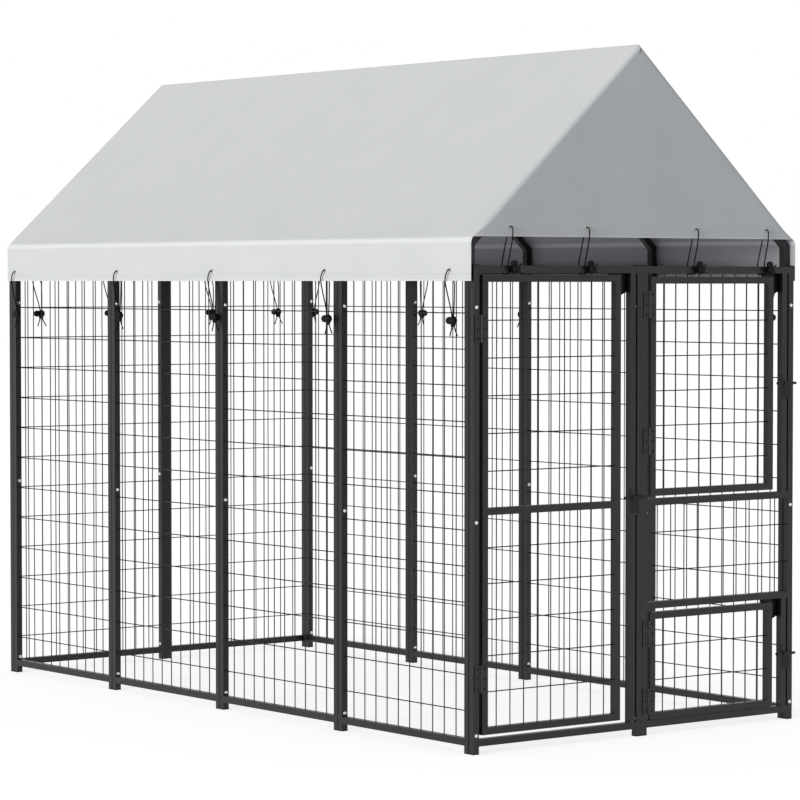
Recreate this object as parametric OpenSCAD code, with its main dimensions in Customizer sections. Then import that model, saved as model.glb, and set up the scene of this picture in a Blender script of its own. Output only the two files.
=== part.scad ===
// Outdoor dog kennel run: bolted mesh panels, a walk-in door, two hatches and a pitched fabric roof.
// The front wall faces -Y, the long sides run along Y, and the posts stand on z = 0.

/* [Walls] */
// Width of one side panel, from post to post
side_pitch = 600; // [450:10:900]
// Width of the front panel that holds the walk-in door
walk_panel_w = 620; // [560:10:800]
// Width of the front panel that holds the two hatches
hatch_panel_w = 600; // [560:10:800]
// Height of the walls, to the top of the top rail
wall_h = 1342; // [1200:1:1900]
// Height of the bottom rail above the ground
foot_h = 22; // [15:1:60]

/* [Tube] */
// Outside width of the square tube
tube = 20; // [18:1:30]
// Wall of the square tube
tube_t = 1.2; // [1:0.1:2]

/* [Mesh] */
// Diameter of the mesh wire
wire_d = 3.2; // [2:0.1:4]
// Height from one level wire to the next
wire_rise = 99.5; // [60:0.5:150]
// Height of a panel's lowest level wire above the rail under it
wire_first = 75.5; // [40:0.5:95]
// Upright wires in a wall panel
panel_wires = 10; // [6:1:16]
// Distance from a post to the first upright wire of a panel
panel_wire_edge = 46; // [30:1:60]
// Upright wires in a door or hatch
door_wires = 9; // [5:1:14]
// Distance from a door's tube to its first upright wire
door_wire_edge = 36; // [20:1:50]

/* [Doors] */
// Gap between the hinge post and the door
hinge_gap = 12; // [10:0.5:16]
// Gap between the door and its latch jamb
latch_gap = 36; // [30:1:50]
// Gap between the latch jamb and the end post
jamb_gap = 6; // [5:0.5:12]
// Gap under the walk-in door
walk_gap_low = 10; // [5:1:40]
// Gap over the walk-in door
walk_gap_top = 5; // [5:0.5:20]
// Height of the middle bar of the walk-in door above the ground
walk_bar_z = 657; // [500:1:800]
// Height of the rail over the lower hatch
low_rail_z = 362; // [300:1:420]
// Height of the rail under the upper hatch
high_rail_z = 658; // [560:1:760]
// Gap under the lower hatch
lower_gap = 1.5; // [1:0.5:12]
// Gap under the upper hatch
upper_gap = 7; // [5:0.5:12]
// Gap over a hatch
hatch_gap_top = 10; // [8:0.5:20]

/* [Hinges and latches] */
// Height of a hinge
hinge_h = 75; // [50:1:76]
// Width of a hinge leaf, from the pin's axis
leaf_w = 23; // [18:0.5:25]
// Thickness of a hinge leaf
leaf_t = 2; // [1.5:0.1:2.5]
// Diameter of the hinge knuckle
knuckle_d = 6; // [5.5:0.5:8]
// Diameter of the hinge pin
pin_d = 3; // [2.5:0.5:4]
// Diameter of the latch bolt
bolt_d = 8; // [6:0.5:9]
// Travel of the latch bolt
bolt_throw = 26; // [22:1:28]
// Width of the latch plate
latch_w = 33; // [30:1:40]
// Height of the latch plate under its barrel
latch_h = 46; // [35:1:60]
// Thickness of sheet steel brackets
plate_t = 2; // [1.5:0.1:3]

/* [Panel bolts] */
// Diameter of a panel bolt
screw_d = 6; // [5:0.5:7]
// Diameter of a panel bolt's head
screw_head_d = 11; // [9:0.5:13]
// Height of the lowest panel bolts
screw_low = 52; // [50:1:60]
// Height of the middle panel bolts
screw_mid = 638; // [500:1:640]
// Depth of the top panel bolts under the wall's top
screw_drop = 114; // [80:1:125]

/* [Roof] */
// Height of the cover's eave fold above the walls
eave_rise = 73; // [50:1:150]
// Height of the cover's ridge above its eave fold
ridge_rise = 559; // [350:1:700]
// Depth of the cover's side valance below its eave fold
valance_h = 117; // [60:1:120]
// Height of the front gable's bottom edge above the eave fold
gable_rise = 7.5; // [5:0.5:60]
// Distance from the walls to the cover's outer face
cover_reach = 8; // [7:0.5:12]
// Thickness of the cover
cover_t = 2; // [1:0.1:2.5]

/* [Ties] */
// Diameter of the tie cord
cord_d = 3.6; // [2:0.1:3.6]
// Diameter of a cord lock
lock_d = 22; // [14:0.5:22]
// Bore of an eyelet
eyelet_d = 7; // [6:0.5:7]

/* [Hidden] */
$fn = 32;
side_panels = 4;
trusses = side_panels + 1;
steel = "#3a3b3d";
seat = 0.1;
slack = 0.3;
run_w = walk_panel_w + hatch_panel_w;
run_l = side_panels * side_pitch + 2 * tube;
rear_bay = run_w / 2;
side_w = side_pitch - seat;
rear_w = rear_bay - seat;
walk_w = walk_panel_w - seat;
post_z = 3;
rail_top = wall_h - tube;
rail_low = foot_h + tube;
mid = tube / 2;

// Panel bolts
screw_zs = [screw_low, screw_mid, wall_h - screw_drop];
screw_bore = screw_d + 0.5;
screw_head_h = 4;
nut_h = 5;
nut_d = 11.5;
nut_bore = screw_d + 0.1;
screw_tip = 1;

// Doors, measured from the left edge of their panel
door_x = tube + hinge_gap;
hinge_x = tube + hinge_gap / 2;
latch_side = 2 * tube + jamb_gap + latch_gap;
jamb_back = 2 * tube + jamb_gap;
walk_door_w = walk_panel_w - door_x - latch_side;
hatch_door_w = hatch_panel_w - door_x - latch_side;
walk_z = [rail_low + walk_gap_low, rail_top - walk_gap_top];
upper_z = [high_rail_z + tube + upper_gap, rail_top - hatch_gap_top];
lower_z = [rail_low + lower_gap, low_rail_z - hatch_gap_top];
walk_hinge_inset = [118, 110];
upper_hinge_inset = [120, 42];
lower_hinge_inset = [16.5, 23];

// Distances from the tubes under and over an opening to its first and last level wires
walk_low_edge = [97, 90];
walk_high_edge = [100, 105];
upper_edge = [81, 107];
lower_edge = [92, 78];
strip_edge = [87, 78];

// Hinge and latch details
axis_y = -knuckle_d / 2 - seat;
knuckle_edge = knuckle_d / 2 + 0.4;
pin_bore = pin_d + 0.1;
pin_head_d = pin_d + 2.5;
pin_head_h = 1.5;
barrel_d = bolt_d + 5;
barrel_bore = bolt_d + 0.16;
bolt_y = -barrel_d / 2 - seat;
bolt_tail = 17;
tab_w = 9;
tab_t = 3;
tab_h = 28;
tab_lip = 7;
tab_back = 2;
stop_lap = 10;
stop_drop = 62;
stop_reach = 10;
stop_point = 12;

// Roof: the rafters rise to the cover's ridge from under its eave folds
roof_mid = run_w / 2;
eave_z = wall_h + eave_rise;
ridge_z = eave_z + ridge_rise;
pitch = atan2(ridge_rise, roof_mid + cover_reach);
cover_y0 = 2;
cover_y1 = run_l + cover_reach;
rafter_drop = cover_t + 1;
rafter_sink = 12;
rafter_pitch = atan2(ridge_rise + rafter_sink, roof_mid + cover_reach);
ridge_clear = 1.5;
plug_edge = tube_t + slack;
plug_w = tube - 2 * plug_edge;
cap_plug_h = 12;
spigot_down = 60;
spigot_up = 40;
bracket_reach = 55;

// Ties: places along each wall, and the height of their eyelets
side_tie_shifts = [76, 51, 26, -48, -30];
end_tie_left = 130;
end_tie_right = run_w - 114;
end_tie_step = 280;
end_tie_xs = [end_tie_left, end_tie_left + end_tie_step, end_tie_right - end_tie_step, end_tie_right];
hem_tie_z = eave_z - valance_h + 32;
end_tie_z = eave_z + gable_rise + 26.5;
flange = 3.5;
flange_t = 1;
button_d = 0.82 * lock_d;
button_out = 0.64 * lock_d;

// Cord routes, as [along, outward, up] from the eyelet, chosen by hand
hem_front_route = [[0, 4.9, 0.2], [-0.6, 7.6, -2.5], [-1.6, 8.6, -6.2], [-7.5, 8.4, -17], [-9.5, 7.6, -29],
    [-4, 6.2, -57], [8, 5, -95], [16, 4.2, -124], [18, 4, -139], [17, 4, -153], [13, 4, -166], [7, 4, -182]];
hem_back_route = [[0, 1.2, 1.2], [0, -2.5, 0.2], [0, -5.2, -2.5], [0.8, -6.2, -6.2], [6, -6.2, -17],
    [14, -5.5, -33], [19, -2, -54], [22, 1, -90], [23, 3.4, -124], [23, 4, -139], [25, 4, -153],
    [31, 4, -166], [40, 4, -181]];
hem_lock = [20.5, 4, -139];
hem_lock_turn = [0, -90, 0];
end_front_route = [[1, 4.9, 0.2], [2, 7.6, -2.5], [2.6, 8.6, -6.2], [3, 8.4, -26], [-3.5, 7.6, -62],
    [-11, 7.4, -96], [-12.5, 8.2, -106], [-9.5, 10.5, -113.5], [-2, 12.8, -116.5], [8, 14, -116],
    [18, 14, -112], [24, 14, -107], [30, 14, -101]];
end_back_route = [[0, 1.2, 1.2], [0, -2.5, 0.2], [0, -5.2, -2.5], [-0.5, -6.5, -7], [-3, -11, -32],
    [-6, -18, -68], [-9, -23, -98], [-10, -24.3, -110], [-10, -24.5, -121.9], [-9.9, -23.9, -124.8],
    [-9.8, -22.3, -127.2], [-9.6, -19.9, -128.8], [-9.4, -17, -129.4], [-8.6, -8, -129.4],
    [-7.2, 2.4, -129.2], [-5.2, 6.6, -127.2], [-2.5, 8.8, -123.6], [1.5, 11.4, -121], [7, 13.6, -120],
    [16, 14, -120], [22.5, 14, -122.4], [27.5, 14, -127]];
end_lock = [11, 14, -117];
end_lock_turn = [0, -22, 0];

function numbered(name, count) = [for (k = [1:count]) str(name, "_", k)];
function spread(first, last, count) = [for (k = [0:count - 1]) first + k * (last - first) / (count - 1)];
function reversed(list) = [for (k = [len(list) - 1:-1:0]) list[k]];
function joint_y(k) = tube + k * side_pitch;
function truss_y(k) = k == 1 ? tube : joint_y(k - 1) - tube;
function rafter_line(x, depth) = eave_z - rafter_sink + (x + cover_reach) * tan(rafter_pitch)
    - (rafter_drop + depth) / cos(rafter_pitch);
function levels(z0, z1, edge) =
    let (span = z1 - z0 - edge[0] - edge[1], steps = max(1, round(span / wire_rise)))
    [for (k = [0:steps]) z0 + edge[0] + k * span / steps];

// The part stands centred on its own box, latches and rear eyelets included.
module placed() {
    translate([-run_w / 2, -(cover_y1 + slack + flange_t - barrel_d - seat) / 2, 0]) children();
}

// Square tubes along each axis
module tube_box(size, bore_axis) {
    wall = [for (k = [0:2]) k == bore_axis ? -1 : tube_t];
    difference() {
        cube(size);
        translate(wall) cube(size - 2 * wall);
    }
}
module tube_x(x0, x1, y, z) {
    translate([x0, y, z]) tube_box([x1 - x0, tube, tube], 0);
}
module tube_z(x, y, z0, z1) {
    translate([x, y, z0]) tube_box([tube, tube, z1 - z0], 2);
}

// End post of a panel, drilled for the panel bolts along the panel or through it
module post(x, through) {
    difference() {
        tube_z(x, 0, post_z, wall_h);
        for (z = screw_zs)
            translate([x + mid, mid, z]) rotate(through ? [90, 0, 0] : [0, 90, 0])
                cylinder(d = screw_bore, h = 2 * tube, center = true);
    }
}

// A panel stands along X from x = 0, with its outer face at y = 0.
module panel_frame(w, through_left, through_right) {
    post(0, through_left);
    post(w - tube, through_right);
    tube_x(tube + seat, w - tube - seat, 0, foot_h);
    tube_x(tube + seat, w - tube - seat, 0, rail_top);
}

// Wire mesh in the opening from (x0, z0) to (x1, z1): uprights outside, level wires inside
module wire_mesh(x0, x1, z0, z1, xs, zs) {
    layer = wire_d / 2 + seat / 4;
    for (x = xs)
        translate([x, mid - layer, z0 + seat]) cylinder(d = wire_d, h = z1 - z0 - 2 * seat);
    for (z = zs)
        translate([x0 + seat, mid + layer, z]) rotate([0, 90, 0])
            cylinder(d = wire_d, h = x1 - x0 - 2 * seat);
}
function panel_xs(w) = spread(tube + panel_wire_edge, w - tube - panel_wire_edge, panel_wires);
module panel_mesh(w) {
    wire_mesh(tube, w - tube, rail_low, rail_top, panel_xs(w),
        [for (z = [rail_low + wire_first:wire_rise:rail_top - wire_rise / 4]) z]);
}

// Each wall's own frame
module on_left(k) {
    translate([0, joint_y(k) - seat / 2, 0]) rotate([0, 0, -90]) children();
}
module on_right(k) {
    translate([run_w, joint_y(k - 1) + seat / 2, 0]) rotate([0, 0, 90]) children();
}
module on_rear(k) {
    translate([k * rear_bay - seat / 2, run_l, 0]) rotate([0, 0, 180]) children();
}
module on_walk() {
    children();
}
module on_hatch() {
    translate([walk_panel_w, 0, 0]) children();
}
module post_pair(w) {
    for (x = [0, w - tube])
        translate([x, 0, 0]) children();
}

module side_panel() {
    color(steel) panel_frame(side_w, false, false);
}
module side_mesh() {
    color(steel) panel_mesh(side_w);
}
module rear_panel(k) {
    color(steel) panel_frame(rear_w, k == 2, k == 1);
}
module rear_mesh() {
    color(steel) panel_mesh(rear_w);
}

// Front panels: rails, jambs and the fixed strip of mesh between the hatches
module jamb(w, z0, z1) {
    tube_z(w - jamb_back, 0, z0 + seat, z1 - seat);
}
module walk_panel() {
    color(steel) on_walk() {
        panel_frame(walk_w, true, false);
        jamb(walk_panel_w, rail_low, rail_top);
    }
}
module hatch_panel() {
    color(steel) on_hatch() {
        panel_frame(hatch_panel_w, false, true);
        for (z = [low_rail_z, high_rail_z])
            tube_x(tube + seat, hatch_panel_w - tube - seat, 0, z);
        jamb(hatch_panel_w, rail_low, low_rail_z);
        jamb(hatch_panel_w, high_rail_z + tube, rail_top);
    }
}
module hatch_mesh() {
    z0 = low_rail_z + tube;
    color(steel) on_hatch() wire_mesh(tube, hatch_panel_w - tube, z0, high_rail_z, panel_xs(hatch_panel_w),
        levels(z0, high_rail_z, strip_edge));
}

// A door: two stiles, top and bottom rails, and a middle bar where bar is over 0
module door_frame(w, z, bar = 0) {
    x1 = door_x + w;
    tube_z(door_x, 0, z[0], z[1]);
    tube_z(x1 - tube, 0, z[0], z[1]);
    for (level = concat([z[0], z[1] - tube], bar > 0 ? [bar] : []))
        tube_x(door_x + tube + seat, x1 - tube - seat, 0, level);
}
module door_mesh(w, z0, z1, edge) {
    x0 = door_x + tube;
    x1 = door_x + w - tube;
    wire_mesh(x0, x1, z0, z1, spread(x0 + door_wire_edge, x1 - door_wire_edge, door_wires),
        levels(z0, z1, edge));
}
module walk_door() {
    color(steel) on_walk() door_frame(walk_door_w, walk_z, walk_bar_z);
}
module walk_door_mesh() {
    color(steel) on_walk() {
        door_mesh(walk_door_w, walk_z[0] + tube, walk_bar_z, walk_low_edge);
        door_mesh(walk_door_w, walk_bar_z + tube, walk_z[1] - tube, walk_high_edge);
    }
}
module upper_hatch() {
    color(steel) on_hatch() door_frame(hatch_door_w, upper_z);
}
module upper_hatch_mesh() {
    color(steel) on_hatch() door_mesh(hatch_door_w, upper_z[0] + tube, upper_z[1] - tube, upper_edge);
}
module lower_hatch() {
    color(steel) on_hatch() door_frame(hatch_door_w, lower_z);
}
module lower_hatch_mesh() {
    color(steel) on_hatch() door_mesh(hatch_door_w, lower_z[0] + tube, lower_z[1] - tube, lower_edge);
}

// Butt hinges: a post leaf with two knuckles, a door leaf with one, and a headed pin
function hinge_zs(z, inset) = [z[0] + inset[0], z[1] - inset[1] - hinge_h];
module at_hinges(z, inset) {
    for (z0 = hinge_zs(z, inset))
        translate([hinge_x, axis_y, z0]) children();
}
module leaf(z_spans) {
    back = -axis_y - seat;
    difference() {
        union() {
            translate([knuckle_edge, back - leaf_t, 0]) cube([leaf_w - knuckle_edge, leaf_t, hinge_h]);
            for (span = z_spans) translate([0, 0, span[0]]) {
                cylinder(d = knuckle_d, h = span[1] - span[0]);
                translate([0, back - leaf_t, 0]) cube([knuckle_edge, leaf_t, span[1] - span[0]]);
            }
        }
        translate([0, 0, -1]) cylinder(d = pin_bore, h = hinge_h + 2);
    }
}
module post_leaf() {
    color(steel) mirror([1, 0, 0]) leaf([[0, hinge_h / 3 - slack], [hinge_h * 2 / 3 + slack, hinge_h]]);
}
module door_leaf() {
    color(steel) leaf([[hinge_h / 3, hinge_h * 2 / 3]]);
}
module hinge_pin() {
    translate([0, 0, -pin_head_h]) cylinder(d = pin_d, h = hinge_h + 2 * pin_head_h);
    for (z = [-pin_head_h - seat, hinge_h + seat])
        translate([0, 0, z]) cylinder(d = pin_head_d, h = pin_head_h);
}
module hinge_pins() {
    color("silver") {
        on_walk() at_hinges(walk_z, walk_hinge_inset) hinge_pin();
        on_hatch() at_hinges(upper_z, upper_hinge_inset) hinge_pin();
        on_hatch() at_hinges(lower_z, lower_hinge_inset) hinge_pin();
    }
}

// Slide latches at half the height of each door, bolt drawn
module at_latch(w, z) {
    translate([w - jamb_back, 0, (z[0] + z[1]) / 2]) children();
}
module latch_plate() {
    difference() {
        union() {
            translate([0, -plate_t - seat, -latch_h]) cube([latch_w, plate_t, latch_h]);
            translate([0, bolt_y, 0]) rotate([0, 90, 0]) cylinder(d = barrel_d, h = latch_w);
        }
        translate([-1, bolt_y, 0]) rotate([0, 90, 0]) cylinder(d = barrel_bore, h = latch_w + 2);
    }
}
module latch_plates() {
    color(steel) {
        on_walk() at_latch(walk_panel_w, walk_z) latch_plate();
        on_hatch() at_latch(hatch_panel_w, upper_z) latch_plate();
        on_hatch() at_latch(hatch_panel_w, lower_z) latch_plate();
    }
}
module latch_bolt() {
    tip = latch_gap - bolt_throw;
    color("#2c2d2f") {
        translate([tip - latch_gap, bolt_y, 0]) rotate([0, 90, 0])
            cylinder(d = bolt_d, h = latch_gap - tip + latch_w + bolt_tail);
        translate([-tab_back, bolt_y + tab_t / 2, 0]) rotate([90, 0, 0]) linear_extrude(height = tab_t)
            polygon([[0, 0], [0, tab_h - tab_t / 2], [-tab_t / 2, tab_h], [-tab_w - tab_lip, tab_h],
                [-tab_w - tab_lip, tab_h - tab_t], [-tab_w, tab_h - tab_t - tab_lip / 2], [-tab_w, 0]]);
    }
}

// L-shaped stop plate behind the top latch corner of a door, with pointed arms
module stop_plate(w, z, rail_z) {
    x0 = w - latch_side - stop_lap;
    x1 = w - jamb_back + stop_lap;
    z0 = z[1] - stop_lap;
    z1 = rail_z + stop_lap;
    left = x0 - stop_reach;
    low = rail_z - stop_drop;
    translate([0, tube + slack + plate_t, 0]) rotate([90, 0, 0]) linear_extrude(height = plate_t)
        polygon([[x1, z1], [left, z1], [left - stop_point, (z0 + z1) / 2], [left, z0], [x0, z0],
            [x0, low + stop_point], [(x0 + x1) / 2, low], [x1, low + stop_point]]);
}
module door_stops() {
    color(steel) {
        on_walk() stop_plate(walk_panel_w, walk_z, rail_top);
        on_hatch() stop_plate(hatch_panel_w, upper_z, rail_top);
        on_hatch() stop_plate(hatch_panel_w, lower_z, low_rail_z);
    }
}

// Panel bolts: every joint clamps two posts, from one face of the pair to the other.
module at_joints() {
    for (z = screw_zs) {
        for (x = [mid, run_w - mid], k = [0:side_panels])
            translate([x, joint_y(k), z]) rotate([k == side_panels ? 90 : -90, 0, 0]) children();
        translate([walk_panel_w, mid, z]) rotate([0, 90, 0]) children();
        translate([rear_bay, run_l - mid, z]) rotate([0, 90, 0]) children();
    }
}
module frame_bolts() {
    dome = [for (a = [90:-22.5:0]) [screw_head_d / 2 * cos(a), -screw_head_h * sin(a)]];
    grip = 2 * tube + seat + slack + nut_h + screw_tip;
    color("silver") at_joints() translate([0, 0, -tube - seat]) rotate_extrude()
        polygon(concat(dome, [[screw_d / 2, 0], [screw_d / 2, grip], [0, grip]]));
}
module frame_nuts() {
    color("silver") at_joints() translate([0, 0, tube + slack]) difference() {
        cylinder(d = nut_d, h = nut_h, $fn = 6);
        translate([0, 0, -1]) cylinder(d = nut_bore, h = nut_h + 2);
    }
}

// Plastic caps: a square flange with a plug that sits in the tube
module cap() {
    cap_t = post_z - seat;
    cube([tube, tube, cap_t]);
    translate([plug_edge, plug_edge, cap_t - 1]) cube([plug_w, plug_w, cap_plug_h + 1]);
}
module foot_caps() {
    color("#1c1c1d") {
        for (k = [1:side_panels]) {
            on_left(k) post_pair(side_w) cap();
            on_right(k) post_pair(side_w) cap();
        }
        for (k = [1:2]) on_rear(k) post_pair(rear_w) cap();
        on_walk() post_pair(walk_w) cap();
        on_hatch() post_pair(hatch_panel_w) cap();
    }
}
module top_cap() {
    translate([0, tube, wall_h + post_z]) rotate([180, 0, 0]) cap();
}
module top_caps() {
    color("#1c1c1d") {
        for (k = [2:side_panels]) {
            on_left(k) translate([side_w - tube, 0, 0]) top_cap();
            on_right(k) top_cap();
        }
        for (k = [1:2]) on_rear(k) post_pair(rear_w) top_cap();
        on_walk() post_pair(walk_w) top_cap();
        on_hatch() post_pair(hatch_panel_w) top_cap();
    }
}

// Roof frame. An outline in the XZ plane becomes a slab that starts at y0.
module slab(y0, depth) {
    translate([0, y0 + depth, 0]) rotate([90, 0, 0]) linear_extrude(height = depth) children();
}
module both_halves() {
    children();
    translate([run_w, 0, 0]) mirror([1, 0, 0]) children();
}
function stub_outline(wall) = [[wall, wall_h + seat], [tube - wall, wall_h + seat],
    [tube - wall, rafter_line(tube - wall, tube - wall) - seat], [wall, rafter_line(wall, wall) - seat]];
function slope_outline(wall) = let (end = roof_mid - mid - seat)
    [[wall, rafter_line(wall, wall)], [end, rafter_line(end, wall)], [end, rafter_line(end, tube - wall)],
    [tube - wall, rafter_line(tube - wall, tube - wall)]];
module roof_truss(k) {
    y = truss_y(k);
    color("#222324") both_halves() {
        difference() {
            slab(y, tube) polygon(stub_outline(0));
            slab(y + tube_t, tube - 2 * tube_t) polygon(stub_outline(tube_t));
        }
        difference() {
            slab(y, tube) polygon(slope_outline(0));
            slab(y + tube_t, tube - 2 * tube_t) polygon(slope_outline(tube_t));
        }
    }
}
module roof_spigots() {
    color("#222324") both_halves() for (k = [1:trusses])
        translate([plug_edge, truss_y(k) + plug_edge, wall_h - spigot_down])
            cube([plug_w, plug_w, spigot_down + spigot_up]);
}
module ridge_tube() {
    top = rafter_line(roof_mid - mid, 0) - ridge_clear;
    color("#222324") translate([roof_mid - mid, tube, top - tube])
        tube_box([tube, run_l - 2 * tube, tube], 1);
}
module ridge_brackets() {
    x1 = roof_mid - mid;
    x0 = x1 - bracket_reach;
    drop = tube + seat;
    color("#222324") for (k = [1:trusses]) slab(truss_y(k), tube)
        polygon([[x0, rafter_line(x0, drop)], [x1, rafter_line(x1, drop)],
            [run_w - x1, rafter_line(x1, drop)],
            [run_w - x0, rafter_line(x0, drop)], [run_w - x0, rafter_line(x0, drop + plate_t)],
            [run_w - x1, rafter_line(x1, drop + plate_t)], [x1, rafter_line(x1, drop + plate_t)],
            [x0, rafter_line(x0, drop + plate_t)]]);
}

// Places of the ties, each turned so that +X runs along its wall: on the front gable, and on the hem
module at_end_ties() {
    for (x = end_tie_xs)
        translate([x, cover_y0, end_tie_z]) children();
}
module at_hem_ties() {
    for (k = [0:side_panels]) {
        y = joint_y(k) + side_tie_shifts[k];
        translate([-cover_reach, y, hem_tie_z]) rotate([0, 0, -90]) children();
        translate([run_w + cover_reach, y, hem_tie_z]) rotate([0, 0, 90]) children();
    }
    for (x = end_tie_xs)
        translate([x - hem_lock[0], cover_y1, hem_tie_z]) mirror([0, 1, 0]) children();
}

// Cover: two slopes and their valances in one folded sheet, a front gable and a rear end down to the hem
module cover_outline(inset, below) {
    rise = inset / cos(pitch);
    low = eave_z - valance_h - below;
    reach = cover_reach - inset;
    eave = eave_z + inset * tan(pitch) - rise;
    polygon([[-reach, low], [-reach, eave], [roof_mid, ridge_z - rise], [run_w + reach, eave],
        [run_w + reach, low]]);
}
module front_gable() {
    low = eave_z + gable_rise;
    x0 = gable_rise / tan(pitch) - cover_reach;
    slab(cover_y0, cover_t) polygon([[x0, low], [roof_mid, ridge_z], [run_w - x0, low]]);
}
module roof_cover() {
    hole = eyelet_d + 2 * flange - 3 + 2 * slack;
    color("#d6d8da") difference() {
        union() {
            slab(cover_y0, cover_y1 - cover_y0) difference() {
                cover_outline(0, 0);
                cover_outline(cover_t, 1);
            }
            front_gable();
            slab(cover_y1 - cover_t, cover_t) cover_outline(0, 0);
        }
        at_end_ties() rotate([90, 0, 0]) cylinder(d = hole, h = 8 * cover_t, center = true);
        at_hem_ties() rotate([90, 0, 0]) cylinder(d = hole, h = 8 * cover_t, center = true);
    }
}

// Eyelets: a flanged ring clinched through the cover, with the local wall face at y = 0
module eyelet() {
    bore = eyelet_d / 2;
    neck = bore + flange - 1.5;
    rim = bore + flange;
    half = cover_t / 2 + slack;
    translate([0, cover_t / 2, 0]) rotate([90, 0, 0]) rotate_extrude()
        polygon([[bore, -half - flange_t], [rim, -half - flange_t], [rim, -half], [neck, -half], [neck, half],
            [rim, half], [rim, half + flange_t], [bore, half + flange_t]]);
}
module cover_eyelets() {
    color("#1c1c1d") {
        at_end_ties() eyelet();
        at_hem_ties() eyelet();
    }
}

// Tie cords: one tube swept along each route, its rings carried along without twist
function unit(v) = v / norm(v);
function tangent(p, i) = unit(p[min(i + 1, len(p) - 1)] - p[max(i - 1, 0)]);
function carried(p, i) = let (t = tangent(p, i), n = i == 0 ? [0, 0, 1] : carried(p, i - 1))
    unit(n - (n * t) * t);
module cord(route) {
    sides = 8;
    p = [for (r = route) [r[0], -r[1], r[2]]];
    last = len(p) - 1;
    turn = 360 / sides;
    rings = [for (i = [0:last]) let (t = tangent(p, i), n = carried(p, i), b = cross(t, n))
        for (j = [0:sides - 1]) p[i] + cord_d / 2 * (cos(j * turn) * n + sin(j * turn) * b)];
    walls = [for (i = [0:last - 1], j = [0:sides - 1])
        let (a = i * sides + j, b = i * sides + (j + 1) % sides)
            each [[a, a + sides, b + sides], [a, b + sides, b]]];
    far = last * sides;
    caps = [for (j = [1:sides - 2]) each [[0, j, j + 1], [far, far + j + 1, far + j]]];
    polyhedron(points = rings, faces = concat(walls, caps));
}
module tie_cords() {
    color("#141414") {
        at_end_ties() cord(concat(reversed(end_front_route), end_back_route));
        at_hem_ties() cord(concat(reversed(hem_front_route), hem_back_route));
    }
}

// Cord locks: a ball with a round push button on its axis, turned as one profile
function arc(r, from, to, rise) = [for (a = [from:15:to]) [r * cos(a), rise + r * sin(a)]];
module cord_lock(at, turn) {
    body = arc(lock_d / 2, -75, 45, 0);
    button = arc(button_d / 2, -30, 75, button_out);
    translate([at[0], -at[1], at[2]]) rotate(turn) rotate_extrude()
        polygon(concat([[0, -lock_d / 2]], body, button, [[0, button_out + button_d / 2]]));
}
module tie_locks() {
    color("#1a1a1a") {
        at_end_ties() cord_lock(end_lock, end_lock_turn);
        at_hem_ties() cord_lock(hem_lock, hem_lock_turn);
    }
}

for (k = [1:side_panels]) {
    placed() on_left(k) side_panel();
    placed() on_right(k) side_panel();
    placed() on_left(k) side_mesh();
    placed() on_right(k) side_mesh();
}
for (k = [1:2]) {
    placed() on_rear(k) rear_panel(k);
    placed() on_rear(k) rear_mesh();
}
placed() walk_panel();
placed() hatch_panel();
placed() hatch_mesh();
placed() walk_door();
placed() walk_door_mesh();
placed() upper_hatch();
placed() upper_hatch_mesh();
placed() lower_hatch();
placed() lower_hatch_mesh();
placed() on_walk() at_hinges(walk_z, walk_hinge_inset) post_leaf();  // walk_post_leaves
placed() on_hatch() at_hinges(upper_z, upper_hinge_inset) post_leaf();  // upper_post_leaves
placed() on_hatch() at_hinges(lower_z, lower_hinge_inset) post_leaf();  // lower_post_leaves
placed() on_walk() at_hinges(walk_z, walk_hinge_inset) door_leaf();  // walk_door_leaves
placed() on_hatch() at_hinges(upper_z, upper_hinge_inset) door_leaf();  // upper_hatch_leaves
placed() on_hatch() at_hinges(lower_z, lower_hinge_inset) door_leaf();  // lower_hatch_leaves
placed() hinge_pins();
placed() latch_plates();
placed() on_walk() at_latch(walk_panel_w, walk_z) latch_bolt();  // walk_latch_bolt
placed() on_hatch() at_latch(hatch_panel_w, upper_z) latch_bolt();  // upper_latch_bolt
placed() on_hatch() at_latch(hatch_panel_w, lower_z) latch_bolt();  // lower_latch_bolt
placed() door_stops();
placed() frame_bolts();
placed() frame_nuts();
placed() foot_caps();
placed() top_caps();
for (k = [1:trusses])
    placed() roof_truss(k);
placed() roof_spigots();
placed() ridge_tube();
placed() ridge_brackets();
placed() roof_cover();
placed() cover_eyelets();
placed() tie_cords();
placed() tie_locks();
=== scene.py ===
import math

import bpy
from mathutils import Matrix, Vector, noise


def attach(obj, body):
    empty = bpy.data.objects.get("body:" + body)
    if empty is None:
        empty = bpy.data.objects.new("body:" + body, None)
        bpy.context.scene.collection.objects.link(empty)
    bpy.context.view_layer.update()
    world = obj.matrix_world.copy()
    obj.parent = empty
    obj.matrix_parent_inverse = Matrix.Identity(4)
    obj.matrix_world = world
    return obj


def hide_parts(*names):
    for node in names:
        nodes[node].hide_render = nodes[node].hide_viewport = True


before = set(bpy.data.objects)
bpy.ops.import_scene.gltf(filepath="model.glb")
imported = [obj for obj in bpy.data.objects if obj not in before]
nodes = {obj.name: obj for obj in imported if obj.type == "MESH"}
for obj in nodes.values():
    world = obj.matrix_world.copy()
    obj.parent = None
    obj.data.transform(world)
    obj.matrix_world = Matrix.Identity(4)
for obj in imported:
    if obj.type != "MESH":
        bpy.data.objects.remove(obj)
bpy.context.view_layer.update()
scene = bpy.context.scene
scene.view_settings.view_transform = "Standard"

# Places below are in millimetres, from the left front corner of the run on the ground.
MM = 0.001
ORIGIN = Vector((610, 1218.1, 0))
RUN_W = 1220


def place(x, y, z):
    """A point of the run, in metres in the shared frame."""
    return (Vector((x, y, z)) - ORIGIN) * MM


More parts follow.
